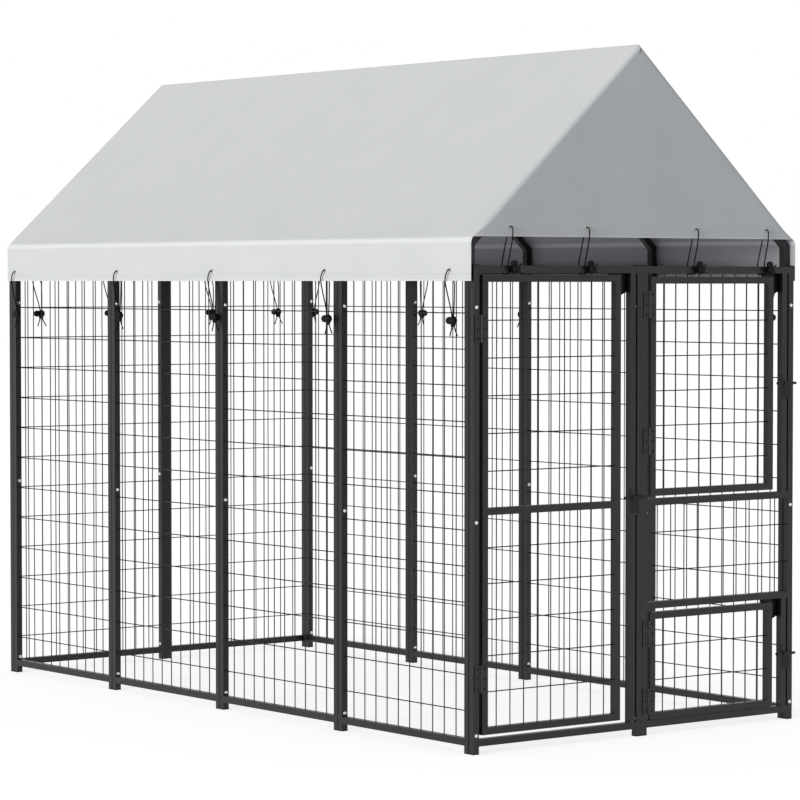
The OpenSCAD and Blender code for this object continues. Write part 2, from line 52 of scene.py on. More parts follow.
# Camera: a long lens at head height, off the left front corner
CAMERA_AT = (-5601.28, -6874.76, 1298.29)
CAMERA_YAW = 0.66100
CAMERA_PITCH = -0.03646
camera = bpy.data.objects.new("camera", bpy.data.cameras.new("camera"))
scene.collection.objects.link(camera)
camera.location = place(*CAMERA_AT)
ahead = Vector((math.sin(CAMERA_YAW), math.cos(CAMERA_YAW), math.tan(CAMERA_PITCH)))
camera.rotation_euler = ahead.to_track_quat("-Z", "Y").to_euler()
camera.data.sensor_width = 36
camera.data.lens = 146.192
camera.data.clip_end = 100
scene.camera = camera


# Materials; sizes in them are in metres
NOISE_SPAN = (0.3, 0.7)


def add(tree, kind, inputs=None, **settings):
    """A new shader node; an input is a constant or another node's output."""
    node = tree.nodes.new("ShaderNode" + kind)
    for name, value in settings.items():
        setattr(node, name, value)
    for name, value in (inputs or {}).items():
        if isinstance(value, bpy.types.NodeSocket):
            tree.links.new(value, node.inputs[name])
        else:
            node.inputs[name].default_value = value
    return node


def material(name, **constants):
    """A new material, its node tree and its shader; constants go on the shader's own sockets."""
    made = bpy.data.materials.new(name)
    made.use_nodes = True
    shader = made.node_tree.nodes["Principled BSDF"]
    for socket, value in constants.items():
        shader.inputs[socket.replace("_", " ")].default_value = value
    return made, made.node_tree, shader


def feed(shader, socket, output):
    shader.id_data.links.new(output, shader.inputs[socket])


def math_node(tree, operation, a, b=0.0):
    return add(tree, "Math", {0: a, 1: b}, operation=operation).outputs[0]


def spread(tree, value, low, high, to_low=0.0, to_high=1.0):
    """The value from low to high, as a number from to_low to to_high."""
    limits = {"From Min": low, "From Max": high, "To Min": to_low, "To Max": to_high}
    return add(tree, "MapRange", {"Value": value, **limits}).outputs[0]


def mottle(tree, where, scale, detail=2.0):
    inputs = {"Vector": where, "Scale": scale, "Detail": detail}
    return add(tree, "TexNoise", inputs).outputs["Fac"]


def blend(tree, factor, a, b):
    """Colour a where factor is 0, colour b where it is 1."""
    return add(tree, "Mix", {0: factor, 6: a, 7: b}, data_type="RGBA").outputs[2]


def bump(tree, shader, height, distance, strength):
    inputs = {"Height": height, "Distance": distance, "Strength": strength}
    feed(shader, "Normal", add(tree, "Bump", inputs).outputs[0])


def grey(level, tint=(1.0, 1.0, 1.0)):
    return (level * tint[0], level * tint[1], level * tint[2], 1.0)


# Painted shade in the grooves between the paired posts of the long sides: the first one's y, their
# pitch and half-width, then how dark the painted shade is and how far its reflection is dulled
SEAM_FIRST = 0.020
SEAM_PITCH = 0.600
SEAM_DARK = 0.0012
SEAM_HALF = 0.0042
GROOVE_SHADE_LEVEL = 0.2
GROOVE_REFLECTION_DULLING = 0.08


def painted_groove_shade(tree, where):
    """Where shade is painted: 1 in the groove between two posts that stand side by side along the
    run, 0 elsewhere.
    """
    y = add(tree, "SeparateXYZ", {0: where}).outputs[1]
    along = math_node(tree, "ADD", y, ORIGIN.y * MM - SEAM_FIRST)
    off = math_node(tree, "PINGPONG", along, SEAM_PITCH / 2)
    normal = add(tree, "NewGeometry").outputs["True Normal"]
    facing = add(tree, "SeparateXYZ", {0: normal}).outputs[0]
    sideways = math_node(tree, "GREATER_THAN", math_node(tree, "ABSOLUTE", facing), 0.5)
    groove = spread(tree, off, SEAM_DARK, SEAM_HALF, 1.0, 0.0)
    return math_node(tree, "MULTIPLY", sideways, groove)


DUST_TOP = 0.14
DUST_MOST = 0.5
DUST_LEVEL = 3.2
DUST_TINT = (1.0, 0.95, 0.88)
PEEL_ROUGHNESS = 0.14
CLOUD_ROUGHNESS = 0.08


def coated_steel(name, level, roughness, specular=0.4, groove_shade=False):
    """Powder coat: fine orange peel, slow changes of shade, dust near the ground, and on paired
    posts a painted shade with dulled reflection in the grooves between them.
    """
    made, tree, shader = material(name, Specular_IOR_Level=specular)
    where = add(tree, "TexCoord").outputs["Object"]
    cloud = spread(tree, mottle(tree, where, 7, 4), *NOISE_SPAN)
    peel = mottle(tree, where, 620)
    coat = blend(tree, cloud, grey(0.86 * level), grey(1.16 * level))
    height = add(tree, "SeparateXYZ", {0: where}).outputs[2]
    near_ground = spread(tree, height, 0.0, DUST_TOP, DUST_MOST, 0.0)
    patches = spread(tree, mottle(tree, where, 55, 5), 0.45, 0.75)
    dust = math_node(tree, "MULTIPLY", near_ground, patches)
    colour = blend(tree, dust, coat, grey(DUST_LEVEL * level, DUST_TINT))
    if groove_shade:
        # painted shade: the groove between paired posts is darkened and its reflection dulled,
        # standing in for the shade that falls into it
        groove_shade_mask = painted_groove_shade(tree, where)
        colour = blend(tree, groove_shade_mask, colour, grey(GROOVE_SHADE_LEVEL * level))
        feed(shader, "Specular Tint", blend(tree, groove_shade_mask, grey(1.0), grey(GROOVE_REFLECTION_DULLING)))
    feed(shader, "Base Color", colour)
    rough_peel = math_node(tree, "MULTIPLY", peel, PEEL_ROUGHNESS)
    rough_cloud = math_node(tree, "MULTIPLY", cloud, CLOUD_ROUGHNESS)
    grain = math_node(tree, "ADD", rough_peel, rough_cloud)
    smoothest = roughness - (PEEL_ROUGHNESS + CLOUD_ROUGHNESS) / 2
    feed(shader, "Roughness", math_node(tree, "ADD", grain, smoothest))
    bump(tree, shader, peel, 0.0002, 0.35)
    return made


def zinc_steel():
    """Bright zinc plate with faint spangle and handling marks."""
    made, tree, shader = material("zinc_steel", Metallic=0.85)
    where = add(tree, "TexCoord").outputs["Object"]
    spangle = add(tree, "TexVoronoi", {"Vector": where, "Scale": 420.0}).outputs["Color"]
    shade = add(tree, "SeparateColor", {0: spangle}).outputs[0]
    feed(shader, "Base Color", blend(tree, shade, grey(0.62), grey(0.82, (0.98, 1.0, 1.0))))
    marks = mottle(tree, where, 260, 4)
    feed(shader, "Roughness", spread(tree, marks, *NOISE_SPAN, 0.28, 0.5))
    bump(tree, shader, mottle(tree, where, 900, 3), 0.0001, 0.2)
    return made


def moulded_plastic(name, level, roughness):
    """Moulded plastic: a fine spark-eroded grain and scuffs a little paler than the rest."""
    made, tree, shader = material(name, Specular_IOR_Level=0.14)
    where = add(tree, "TexCoord").outputs["Object"]
    grain = mottle(tree, where, 1800)
    scuff = spread(tree, mottle(tree, where, 90, 6), 0.55, 0.8)
    feed(shader, "Base Color", blend(tree, scuff, grey(level), grey(1.8 * level)))
    matt = spread(tree, grain, *NOISE_SPAN, roughness - 0.08, roughness + 0.1)
    feed(shader, "Roughness", matt)
    bump(tree, shader, grain, 0.00015, 0.4)
    return made


def braided_cord():
    """Braided cord: two sets of slanted strands, with fuzz."""
    made, tree, shader = material("cord_braid", Specular_IOR_Level=0.08)
    where = add(tree, "TexCoord").outputs["Object"]
    crossed = add(tree, "Mapping", {"Vector": where, "Scale": (-1.0, -1.0, 1.0)}).outputs[0]
    slant = {"bands_direction": "DIAGONAL", "wave_type": "BANDS"}
    sets = []
    for lean in (where, crossed):
        wave = add(tree, "TexWave", {"Vector": lean, "Scale": 260.0, "Distortion": 1.5}, **slant)
        sets.append(wave.outputs["Fac"])
    strands = math_node(tree, "MAXIMUM", *sets)
    feed(shader, "Base Color", blend(tree, strands, grey(0.0012), grey(0.0035)))
    fuzz = mottle(tree, where, 900)
    feed(shader, "Roughness", spread(tree, fuzz, *NOISE_SPAN, 0.6, 0.85))
    bump(tree, shader, strands, 0.0004, 0.7)
    return made


# Woven cover: the tapes' width and shades, where warp and weft differ by a painted sheen and the
# gaps between tapes hold painted shade, and the stitches' line, pitch and width
TAPE = 0.0042
WARP_SHEEN = 1.04
WEFT_SHEEN = 0.945
GAP_PAINTED_SHADE = 0.78
STITCH_LINE = 0.019
STITCH = 0.0055
STITCH_SHARE = 0.68
STITCH_HALF = 0.0007
HEM_EDGE = (0.002, 0.005)


def tape_height(tree, across):
    """The rounded height of a set of tapes, from 0 between two to 1 on top of one."""
    turn = math_node(tree, "MULTIPLY", across, math.pi / TAPE)
    return math_node(tree, "ABSOLUTE", math_node(tree, "SINE", turn))


def stitches(tree, along, hem):
    """1 on the thread of the hem's seam, 0 elsewhere."""
    off_line = math_node(tree, "ABSOLUTE", math_node(tree, "SUBTRACT", hem, STITCH_LINE))
    on_line = math_node(tree, "LESS_THAN", off_line, STITCH_HALF)
    step = math_node(tree, "FRACT", math_node(tree, "DIVIDE", along, STITCH))
    on_top = math_node(tree, "LESS_THAN", step, STITCH_SHARE)
    return math_node(tree, "MULTIPLY", on_line, on_top)


def woven_cover(name, level, cloth_length, tint=(1.0, 1.0, 1.0), fold_pale=1.12):
    """Woven polyethylene: flat tapes over and under, with a painted sheen on them and painted
    shade between them, a stitched hem, and a painted highlight along the eave folds.
    """
    made, tree, shader = material(name, Specular_IOR_Level=0.45)
    cloth_uv = add(tree, "UVMap", uv_map="cloth").outputs[0]
    along, across = add(tree, "SeparateXYZ", {0: cloth_uv}).outputs[:2]
    over = add(tree, "TexChecker", {"Vector": cloth_uv, "Scale": 1 / TAPE}).outputs["Fac"]
    heights = {2: tape_height(tree, along), 3: tape_height(tree, across)}
    tapes = add(tree, "Mix", {0: over, **heights}).outputs[0]
    where = add(tree, "TexCoord").outputs["Object"]
    cloud = spread(tree, mottle(tree, where, 5, 5), *NOISE_SPAN)
    cloth = blend(tree, cloud, grey(0.965 * level, (0.995, 1.0, 1.0)), grey(1.03 * level))
    # painted sheen: over and under tapes get lighter and darker copies of the cloth colour, for
    # warp and weft reflecting light differently
    shades = {0: 1.0, 6: cloth, 7: blend(tree, over, grey(WEFT_SHEEN, tint), grey(WARP_SHEEN, tint))}
    tape = add(tree, "Mix", shades, data_type="RGBA", blend_type="MULTIPLY").outputs[2]
    # painted shade in the gaps between the tapes
    gap = grey(GAP_PAINTED_SHADE * level, (0.99, 1.0, 1.0))
    woven = blend(tree, spread(tree, tapes, 0.0, 0.6), gap, tape)
    # painted highlight: the eave folds are made paler where the rounded cloth would catch the
    # light
    fold = add(tree, "Attribute", attribute_name="fold").outputs["Fac"]
    folded = blend(tree, fold, woven, grey(fold_pale * level, tint))
    hem = math_node(tree, "MINIMUM", across, math_node(tree, "SUBTRACT", cloth_length, across))
    thread = stitches(tree, along, hem)
    edge = spread(tree, hem, *HEM_EDGE, 1.0, 0.0)
    hemmed = blend(tree, edge, folded, grey(1.1 * level))
    feed(shader, "Base Color", blend(tree, thread, hemmed, grey(0.85 * level)))
    rough_gap = spread(tree, tapes, 0.0, 1.0, 0.12, 0.0)
    rough_cloud = spread(tree, cloud, 0.0, 1.0, 0.42, 0.52)
    feed(shader, "Roughness", math_node(tree, "ADD", rough_gap, rough_cloud))
    relief = math_node(tree, "ADD", math_node(tree, "MULTIPLY", tapes, 0.35), thread)
    bump(tree, shader, relief, 0.0006, 0.6)
    return made


def eyelet_metal():
    """Pressed aluminium rings, painted pale, with draw marks."""
    made, tree, shader = material("eyelet_metal", Metallic=0.6)
    where = add(tree, "TexCoord").outputs["Object"]
    marks = mottle(tree, where, 700, 4)
    feed(shader, "Base Color", blend(tree, marks, grey(0.42), grey(0.7)))
    feed(shader, "Roughness", spread(tree, marks, *NOISE_SPAN, 0.3, 0.5))
    bump(tree, shader, marks, 0.0001, 0.3)
    return made


FRAME_COAT = coated_steel("frame_coat", 0.0045, 0.4, 0.42, groove_shade=True)
DOOR_COAT = coated_steel("door_coat", 0.0045, 0.4, 0.42)
WIRE_COAT = coated_steel("wire_coat", 0.006, 0.45, 0.26)
ROOF_COAT = coated_steel("roof_coat", 0.005, 0.55)
LATCH_COAT = coated_steel("latch_coat", 0.005, 0.45, 0.25)
SCREW_COAT = coated_steel("screw_coat", 0.002, 0.6, 0.12)
ZINC = zinc_steel()
CAP_PLASTIC = moulded_plastic("cap_plastic", 0.01, 0.5)
LOCK_PLASTIC = moulded_plastic("lock_plastic", 0.002, 0.5)
CORD_BRAID = braided_cord()
EYELET_METAL = eyelet_metal()


# Ties: each cord goes through its eyelet, and both strands run through a lock.
# A route is [along, outward, up] from the eyelet.
CORD_D = 3.6
HEM_ROUTES = (
    [[0, 1.2, 1.2], [0, 4.9, 0.2], [-0.6, 7.6, -2.5], [-1.6, 8.6, -6.2], [-7.5, 8.4, -17],
     [-9.5, 7.6, -29], [-4, 6.2, -57], [8, 5, -95], [16, 4.2, -124], [18, 4, -139],
     [17, 4, -153], [13, 4, -166], [7, 4, -182]],
    [[0, 1.2, 1.2], [0, -2.5, 0.2], [0, -5.2, -2.5], [0.8, -6.2, -6.2], [6, -6.2, -17],
     [14, -5.5, -33], [19, -2, -54], [22, 1, -90], [23, 3.4, -124], [23, 4, -139],
     [25, 4, -153], [31, 4, -166], [40, 4, -181]],
)
HEM_LOCK = (20.5, 4, -139)
HEM_LOCK_TURN = -90
END_ROUTES = (
    [[0, 1.2, 1.2], [1, 4.9, 0.2], [2, 7.6, -2.5], [2.6, 8.6, -6.2], [3, 8.4, -26],
     [-3.5, 7.6, -62], [-11, 7.4, -96], [-12.5, 8.2, -106], [-9.5, 10.5, -113.5],
     [-2, 12.8, -116.5], [8, 14, -116], [18, 14, -112], [24, 14, -107], [30, 14, -101]],
    [[0, 1.2, 1.2], [0, -2.5, 0.2], [0, -5.2, -2.5], [-0.5, -6.5, -7], [-3, -11, -32],
     [-6, -18, -68], [-9, -23, -98], [-10, -24.3, -110], [-10, -24.5, -121.9],
     [-9.9, -23.9, -124.8], [-9.8, -22.3, -127.2], [-9.6, -19.9, -128.8], [-9.4, -17, -129.4],
     [-8.6, -8, -129.4], [-7.2, 2.4, -129.2], [-5.2, 6.6, -127.2], [-2.5, 8.8, -123.6],
     [1.5, 11.4, -121], [7, 13.6, -120], [16, 14, -120], [22.5, 14, -122.4], [27.5, 14, -127]],
)
END_LOCK = (11, 14, -117)
END_LOCK_TURN = -22
END_TIE_XS = (130, 410, 826, 1106)
SIDE_TIE_YS = (96, 671, 1246, 1772, 2390)
END_TIE_Z = 1449
HEM_TIE_Z = 1330
COVER_X = -8
COVER_Y = 2
COVER_END = 2448


def finish_piece(piece, look, body):
    """Give a new piece its material and let it move with a body."""
    piece.data.materials.append(look)
    scene.collection.objects.link(piece)
    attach(piece, body)
    return piece


def mesh_of(name, verts, faces, smooth=True):
    mesh = bpy.data.meshes.new(name)
    mesh.from_pydata(verts, [], faces)
    mesh.polygons.foreach_set("use_smooth", [smooth] * len(mesh.polygons))
    mesh.update()
    return mesh


def join(*parts):
    """Several lists of vertices and faces as one."""
    verts, faces = [], []
    for more_verts, more_faces in parts:
        first = len(verts)
        verts += more_verts
        faces += [[first + i for i in face] for face in more_faces]
    return verts, faces


def moved(part, matrix):
    return [matrix @ Vector(v) for v in part[0]], part[1]


def revolve(profile, steps=40):
    """A turned solid; profile is (radius, height), from the centre below to the centre on top."""
    verts = [Vector((0, 0, profile[0][1]))]
    for radius, height in profile[1:-1]:
        turn = [2 * math.pi * k / steps for k in range(steps)]
        verts += [Vector((radius * math.cos(a), radius * math.sin(a), height)) for a in turn]
    verts.append(Vector((0, 0, profile[-1][1])))
    rings = len(profile) - 2
    faces = [[0, 1 + (k + 1) % steps, 1 + k] for k in range(steps)]
    for ring in range(rings - 1):
        low = 1 + ring * steps
        for k in range(steps):
            after = (k + 1) % steps
            faces.append([low + k, low + after, low + steps + after, low + steps + k])
    low = 1 + (rings - 1) * steps
    faces += [[low + k, low + (k + 1) % steps, len(verts) - 1] for k in range(steps)]
    return verts, faces


def torus(radius, thickness, steps=20, sides=10):
    """A ring round the z axis."""
    verts, faces = [], []
    for i in range(steps):
        a = 2 * math.pi * i / steps
        here, after = i * sides, (i + 1) % steps * sides
        for j in range(sides):
            b = 2 * math.pi * j / sides
            out = radius + thickness * math.cos(b)
            spot = (out * math.cos(a), out * math.sin(a), thickness * math.sin(b))
            verts.append(Vector(spot))
            up = (j + 1) % sides
            faces.append([here + j, after + j, after + up, here + up])
    return verts, faces


def arc(radius, start, end, rise, steps=14):
    """Points of a round profile, from one angle to another."""
    angles = [math.radians(start + (end - start) * k / steps) for k in range(steps + 1)]
    return [(radius * math.cos(a), rise + radius * math.sin(a)) for a in angles]


def inward(point):
    """A route's point in the tie's own axes: along, inward, up."""
    return Vector((point[0], -point[1], point[2]))


LOCK_R = 11
LOCK_GROOVE = 0.5
LOCK_SWELL = Matrix.Diagonal((1.2, 1.0, 1.16, 1.0))
BUTTON_R = 9.02
BUTTON_OUT = 14.08
SPOUT = ((0, -18), (5.6, -18), (7.2, -17), (9.6, -7), (0, -7))
SPOUT_FLAT = Matrix.Diagonal((1.0, 0.66, 1.0, 1.0))
LIP_R = 0.68 * CORD_D
LIP_T = 0.22 * CORD_D


def lock_profile():
    """Half the section of a lock: a ball with a parting groove, a neck and a dished button."""
    groove = [(LOCK_R - LOCK_GROOVE, 0)]
    ball = arc(LOCK_R, -84, -2, 0) + groove + arc(LOCK_R, 2, 44, 0)
    neck = [(0.66 * LOCK_R, rise * LOCK_R) for rise in (0.76, 0.84)]
    button = arc(BUTTON_R, -28, 52, BUTTON_OUT)
    dish = [(out * BUTTON_R, BUTTON_OUT + rise * BUTTON_R)
            for out, rise in ((0.5, 0.87), (0.42, 0.8), (0, 0.78))]
    return [(0, -LOCK_R)] + ball + neck + button + dish


def lock_mesh(name, routes, centre, turn, spout=True):
    """A round lock with a push button, and a lip where each strand goes in or out."""
    middle = inward(centre)
    turned = LOCK_SWELL @ Matrix.Rotation(math.radians(turn), 4, "Y")
    parts = [moved(revolve(lock_profile()), Matrix.Translation(middle) @ turned)]
    if spout:
        parts.append(moved(revolve(SPOUT), Matrix.Translation(middle) @ SPOUT_FLAT))
    for route in routes:
        points = [inward(p) - middle for p in route]
        for a, b in zip(points, points[1:]):
            reach_a, reach_b = a.length - LOCK_R, b.length - LOCK_R
            if reach_a * reach_b < 0:
                at = a.lerp(b, reach_a / (reach_a - reach_b))
                facing = (b - a).to_track_quat("Z", "Y").to_matrix().to_4x4()
                lip = torus(LIP_R, LIP_T)
                parts.append(moved(lip, Matrix.Translation(middle + at) @ facing))
    verts, faces = join(*parts)
    return mesh_of(name, [v * MM for v in verts], faces)


def tie_places():
    """Each tie's name, its kind, where its eyelet is and its turn about the vertical."""
    for k, x in enumerate(END_TIE_XS, 1):
        yield f"front_tie_{k}", "end", place(x, COVER_Y, END_TIE_Z), 0
        yield f"rear_tie_{k}", "rear", place(x - HEM_LOCK[0], COVER_END, HEM_TIE_Z), 180
    for k, y in enumerate(SIDE_TIE_YS, 1):
        yield f"left_tie_{k}", "hem", place(COVER_X, y, HEM_TIE_Z), -90
        yield f"right_tie_{k}", "hem", place(RUN_W - COVER_X, y, HEM_TIE_Z), 90


def strand(name, points):
    """One round strand of cord through the points."""
    curve = bpy.data.curves.new(name, "CURVE")
    curve.dimensions = "3D"
    curve.bevel_depth = CORD_D / 2 * MM
    curve.bevel_resolution = 3
    curve.resolution_u = 6
    curve.use_fill_caps = True
    spline = curve.splines.new("BEZIER")
    spline.bezier_points.add(len(points) - 1)
    for knot, point in zip(spline.bezier_points, points):
        knot.co = point
        knot.handle_left_type = knot.handle_right_type = "AUTO"
    return bpy.data.objects.new(name, curve)


def flipped(point):
    """The same point on the other side of the tie's eyelet."""
    return (-point[0], point[1], point[2])


REAR_ROUTES = [[flipped(p) for p in route] for route in HEM_ROUTES]
REAR_LOCK = flipped(HEM_LOCK)
TIES = {
    "end": (END_ROUTES, lock_mesh("end_lock", END_ROUTES, END_LOCK, END_LOCK_TURN, spout=False)),
    "hem": (HEM_ROUTES, lock_mesh("hem_lock", HEM_ROUTES, HEM_LOCK, HEM_LOCK_TURN)),
    "rear": (REAR_ROUTES, lock_mesh("rear_lock", REAR_ROUTES, REAR_LOCK, -HEM_LOCK_TURN)),
}
for _, shape in TIES.values():
    shape.materials.append(LOCK_PLASTIC)
for name, kind, at, turn in tie_places():
    routes, shape = TIES[kind]
    axes = Matrix.Translation(at) @ Matrix.Rotation(math.radians(turn), 4, "Z")
    lock = bpy.data.objects.new(name + "_lock", shape)
    lock.matrix_world = axes
    scene.collection.objects.link(lock)
    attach(lock, "kennel")
    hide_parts("tie_locks")
    for half, route in zip("ab", routes):
        points = [axes @ (inward(p) * MM) for p in route]
        cord = finish_piece(strand(f"{name}_cord_{half}", points), CORD_BRAID, "kennel")
        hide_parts("tie_cords")


# Cover: one sheet from hem to hem over the ridge, a gable in front, a rear end down to the hem
HEM_Z = 1300
EAVE_Z = 1415
RIDGE_Z = 1974
GABLE_Z = 1422.5
EAVE_R = 26
RIDGE_R = 10
END_R = 15
CLOTH_T = 1.0
TRUSS_YS = (30, 610, 1210, 1810, 2410)
CLOTH_LEVEL = 0.828
# The cloth's inside face: a darker, cooler copy of the cloth as painted shade for the underside of
# the roof, with a stronger painted highlight on its eave folds
INSIDE_SHADE_LEVEL = 0.6
INSIDE_SHADE_TINT = (1.04, 1.0, 1.07)
INSIDE_FOLD_HIGHLIGHT = 1.5
# Sag between the trusses and wrinkles, and how far from eaves, ridge and ends they fade out
SAG = 3.0
WRINKLE = 0.9
WRINKLE_WIDE = 170
WRINKLE_PROUD = 0.5
EAVE_FADE = 80
RIDGE_FADE = (25, 150)
END_FADE = (40, 120)
# Rows of the mesh
ROW = 24
EDGE_ROW = 1.2
FOLD_STEPS = 12
END_STEPS = 10
STATIONS = 72
COLUMNS = 36


def cover_profile():
    """The sheet's section as points, outward normals and the painted highlight's marks on the eave
    folds, from hem to hem.
    """
    right = RUN_W - COVER_X
    corners = [Vector(c) for c in ((COVER_X, HEM_Z), (COVER_X, EAVE_Z), (RUN_W / 2, RIDGE_Z),
                                   (right, EAVE_Z), (right, HEM_Z))]
    radii = (0, EAVE_R, RIDGE_R, EAVE_R, 0)
    last = len(corners) - 1
    samples = []
    start = corners[0]
    for k in range(1, last + 1):
        ahead = (corners[k] - corners[k - 1]).normalized()
        normal = Vector((-ahead.y, ahead.x))
        cut = 0
        if k < last:
            after = (corners[k + 1] - corners[k]).normalized()
            bend = math.acos(ahead.dot(after))
            cut = radii[k] * math.tan(bend / 2)
        end = corners[k] - ahead * cut
        long = (end - start).length
        count = max(4, round(long / ROW))
        edge = EDGE_ROW / long
        steps = [0, edge] + [i / count for i in range(1, count)] + [1 - edge, 1]
        samples += [(start.lerp(end, t), normal, 0.0) for t in steps]
        if k < last:
            centre = end - normal * radii[k]
            for i in range(1, FOLD_STEPS):
                a = -bend * i / FOLD_STEPS
                turned = Vector((normal.x * math.cos(a) - normal.y * math.sin(a),
                                 normal.x * math.sin(a) + normal.y * math.cos(a)))
                # painted highlight: strongest in the middle of each eave fold
                highlight_mark = math.sin(math.pi * i / FOLD_STEPS) if radii[k] == EAVE_R else 0.0
                samples.append((centre + turned * radii[k], turned, highlight_mark))
            start = corners[k] + after * cut
    return samples


def cover_stations():
    """Places along the run: y, how far slope and valance have turned in, and the trusses' sag."""
    turns = [math.radians(90 - 90 * k / END_STEPS) for k in range(END_STEPS + 1)]
    ends = [(END_R * (1 - math.sin(a)), END_R * (1 - math.cos(a))) for a in turns]
    first, last = COVER_Y + END_R, COVER_END - END_R
    middle = []
    for k in range(1, STATIONS):
        y = first + (last - first) * k / STATIONS
        sag = 0.0
        for a, b in zip(TRUSS_YS, TRUSS_YS[1:]):
            if a < y < b:
                sag = SAG * math.sin(math.pi * (y - a) / (b - a)) ** 2
        middle.append((y, 0.0, 0.0, sag))
    front = [(COVER_Y + deep, inset, 0.0, 0.0) for deep, inset in ends]
    rear = [(COVER_END - deep, inset, inset, 0.0) for deep, inset in reversed(ends)]
    return front + middle + rear


def smooth_step(value):
    value = min(1.0, max(0.0, value))
    return value * value * (3 - 2 * value)


def fade_in(distance, limits):
    """0 up to the first limit, rising to 1 over the second."""
    return smooth_step((distance - limits[0]) / limits[1])


def sheet_points(profile, stations, run):
    """The sheet's points and their places on the flat cloth, station by station."""
    verts, uvs = [], []
    for y, slope_in, valance_in, sag in stations:
        ends = fade_in(min(y, COVER_END - y), END_FADE)
        for (point, normal, _), v in zip(profile, run):
            over_eave = min(v, run[-1] - v) - (EAVE_Z - HEM_Z)
            slope = smooth_step(over_eave / EAVE_FADE)
            below_ridge = fade_in(RIDGE_Z - point.y, RIDGE_FADE)
            ripple = noise.noise(Vector((v, y, 0)) / WRINKLE_WIDE)
            ripple *= WRINKLE * ends * slope * below_ridge
            turned = valance_in + (slope_in - valance_in) * slope
            into = turned + sag * slope * below_ridge + max(ripple, -WRINKLE_PROUD)
            spot = point - normal * into
            verts.append(place(spot.x, y, spot.y))
            uvs.append((y * MM, v * MM))
    return verts, uvs


def add_end(verts, faces, first, levels, wide, inner_side):
    """Close one end of the sheet, level by level, from edge to edge; returns the faces added."""
    ridge = wide // 2
    lines = []
    for i in levels:
        left, right = first + i, first + wide - 1 - i
        line = [left]
        for c in range(1, COLUMNS):
            if i == ridge:
                line.append(left)
                continue
            line.append(len(verts))
            verts.append(verts[left].lerp(verts[right], c / COLUMNS))
        line.append(right)
        lines.append(line)
    count = len(faces)
    for low, high in zip(lines, lines[1:]):
        for c in range(COLUMNS):
            face = list(dict.fromkeys([low[c], low[c + 1], high[c + 1], high[c]]))
            faces.append(face[::-1] if inner_side else face)
    return len(faces) - count


def cover_mesh(profile, stations, run):
    """The cover's mesh, with the flat cloth's places as UVs and the eave folds' painted highlight
    as an attribute.
    """
    verts, uvs = sheet_points(profile, stations, run)
    folds = [fold for _, _, fold in profile] * len(stations)
    wide = len(profile)
    faces = []
    for j in range(len(stations) - 1):
        for i in range(wide - 1):
            here = j * wide + i
            faces.append([here, here + 1, here + wide + 1, here + wide])
    bases = [None] * len(faces)
    ridge = wide // 2
    gable = next(i for i in range(wide) if profile[i][0].y >= GABLE_Z)
    rear = (len(stations) - 1) * wide
    bases += [GABLE_Z] * add_end(verts, faces, 0, range(gable, ridge + 1), wide, False)
    bases += [HEM_Z] * add_end(verts, faces, rear, range(ridge + 1), wide, True)
    folds += [0.0] * (len(verts) - len(folds))
    mesh = mesh_of("cover", verts, faces)
    layer = mesh.uv_layers.new(name="cloth")
    for polygon in mesh.polygons:
        base = bases[polygon.index]
        for corner in polygon.loop_indices:
            vertex = mesh.loops[corner].vertex_index
            spot = verts[vertex]
            layer.data[corner].uv = (spot.x, spot.z - base * MM) if base else uvs[vertex]
    highlight_mark = mesh.attributes.new("fold", "FLOAT", "POINT")
    highlight_mark.data.foreach_set("value", folds)
    return mesh


def build_cover():
    profile = cover_profile()
    run = [0.0]
    for a, b in zip(profile, profile[1:]):
        run.append(run[-1] + (b[0] - a[0]).length)
    wide_m, long_m = run[-1] * MM, (COVER_END - COVER_Y) * MM
    mesh = cover_mesh(profile, cover_stations(), run)
    cover = bpy.data.objects.new("cover", mesh)
    outer = woven_cover("cover_cloth", CLOTH_LEVEL, wide_m)
    finish_piece(cover, outer, "kennel")
    # the inside face gets the darker, cooler copy of the cloth: painted shade
    shaded_inside = woven_cover("cover_inside_shaded", INSIDE_SHADE_LEVEL, wide_m, INSIDE_SHADE_TINT, INSIDE_FOLD_HIGHLIGHT)
    mesh.materials.append(shaded_inside)
    cloth = cover.modifiers.new("thickness", "SOLIDIFY")
    cloth.thickness = CLOTH_T * MM
    cloth.offset = -1
    cloth.material_offset = 1
    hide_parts("roof_cover")


build_cover()


# Hinge screws: three in each leaf, with a domed head and a cross recess
LEAF_FACE = -2.1
SCREW_STEP = 28.6
SCREW_OFF = 13
SCREW_R = 2.7
SCREW_RIM = 0.3
SCREW_DOME = 1.3
CROSS = (3.4, 0.8, 0.75)
CROSS_RISE = 0.9
CROSS_TAPER = 0.86
# Each door's hinge axis and the heights of its hinges
HINGES = {
    "walk_door": (26, (207.5, 1169.5)),
    "upper_hatch": (646, (842.5, 1232.5)),
    "lower_hatch": (646, (97.5, 291.5)),
}


def bar(wide, deep, high):
    """A small bar on the z = 0 plane, narrower on top."""
    verts = []
    for z, taper in ((0, 1.0), (high, CROSS_TAPER)):
        for x, y in ((-1, -1), (1, -1), (1, 1), (-1, 1)):
            verts.append(Vector((x * wide / 2 * taper, y * deep / 2 * taper, z)))
    faces = [[3, 2, 1, 0], [4, 5, 6, 7], [0, 1, 5, 4], [1, 2, 6, 5], [2, 3, 7, 6], [3, 0, 4, 7]]
    return verts, faces


def screw_head():
    rim = [(0, 0), (SCREW_R, 0), (SCREW_R, SCREW_RIM)]
    dome = [(SCREW_R * math.cos(a), SCREW_RIM + SCREW_DOME * math.sin(a))
            for a in (0.3, 0.6, 0.9, 1.2)]
    head = revolve(rim + dome + [(0, SCREW_RIM + SCREW_DOME)], 24)
    cross = moved(bar(*CROSS), Matrix.Translation((0, 0, CROSS_RISE)))
    return join(head, cross, moved(cross, Matrix.Rotation(math.pi / 2, 4, "Z")))


